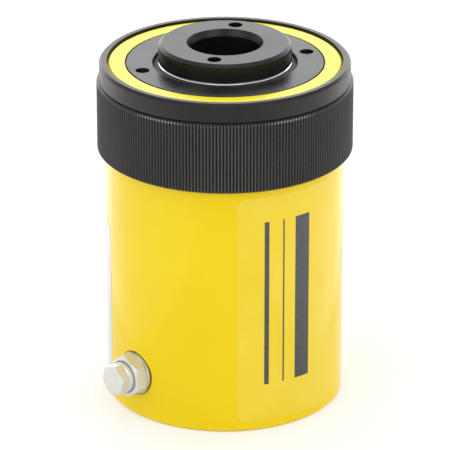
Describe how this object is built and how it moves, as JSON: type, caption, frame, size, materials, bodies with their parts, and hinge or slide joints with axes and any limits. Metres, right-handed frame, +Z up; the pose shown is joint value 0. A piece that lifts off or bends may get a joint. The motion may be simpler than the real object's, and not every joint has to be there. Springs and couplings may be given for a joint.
{
  "type": "hollow plunger cylinder",
  "caption": "Single-acting spring-return hydraulic cylinder with a hole right through it, a knurled thread-protecting collar, a screwed saddle and a plugged oil port.",
  "frame": {"origin": "centre of the flat base, on the cylinder's axis", "axes": "+Z up the cylinder's axis, the way the plunger comes out; -Y towards the viewer, so that the oil port is on the left of the front, 49 degrees round from -Y towards -X"},
  "size_m": [0.1226, 0.1226, 0.178],
  "materials": {
    "yellow_paint": "gloss enamel over steel",
    "black_oxide": "black oxide over turned steel",
    "hard_chrome": "ground hard chrome",
    "turned_steel": "fine turned steel",
    "spring_steel": "oiled spring steel",
    "zinc_plate": "bright zinc plate",
    "rubber": "matt moulded rubber",
    "nylon": "natural nylon",
    "bronze": "bearing bronze"
  },
  "bodies": {
    "barrel": {"cylinder_body": "yellow_paint", "stop_ring": "black_oxide", "stop_ring_set_screw": "black_oxide", "set_screw_pellet": "nylon", "rod_wiper": "rubber", "rod_bearing": "bronze", "return_spring": "spring_steel", "centre_tube": "turned_steel", "tube_o_ring": "rubber", "tube_backup_ring": "nylon", "tube_retaining_ring": "spring_steel", "port_adapter": "zinc_plate", "port_bonded_seal": "zinc_plate"},
    "plunger": {"plunger": "hard_chrome", "piston_bearing": "bronze", "piston_u_cup": "rubber", "piston_backup_ring": "nylon", "inner_bearing": "bronze", "inner_u_cup": "rubber", "inner_backup_ring": "nylon"},
    "saddle": {"saddle": "black_oxide"},
    "collar": {"collar_ring": "black_oxide"},
    "plug_washer": {"plug_washer": "zinc_plate"},
    "plug": {"port_plug": "zinc_plate"}
  },
  "joints": [
    {"name": "plunger_stroke", "type": "slide", "parent": "barrel", "child": "plunger", "axis": [0, 0, 1], "range_m": [0, 0.0635], "stiffness_N_per_m": 6000, "springref_m": -0.05, "deforming": ["return_spring"]},
    {"name": "saddle_lift", "type": "slide", "parent": "plunger", "child": "saddle", "axis": [0, 0, 1], "range_m": [0, 0.025]},
    {"name": "collar_lift", "type": "slide", "parent": "barrel", "child": "collar", "axis": [0, 0, 1], "range_m": [0, 0.048]},
    {"name": "plug_travel", "type": "slide", "parent": "barrel", "child": "plug_washer", "axis": [-0.7547, -0.6561, 0], "range_m": [0, 0.0085]},
    {"name": "plug_spin", "type": "hinge", "parent": "plug_washer", "child": "plug", "pos_m": [-0.04811, -0.04182, 0.0224], "axis": [-0.7547, -0.6561, 0], "range_deg": [0, 2160]}
  ],
  "couplings": [
    {"joint": "plug_travel", "follows": "plug_spin", "m_per_rad": 0.00022457}
  ]
}
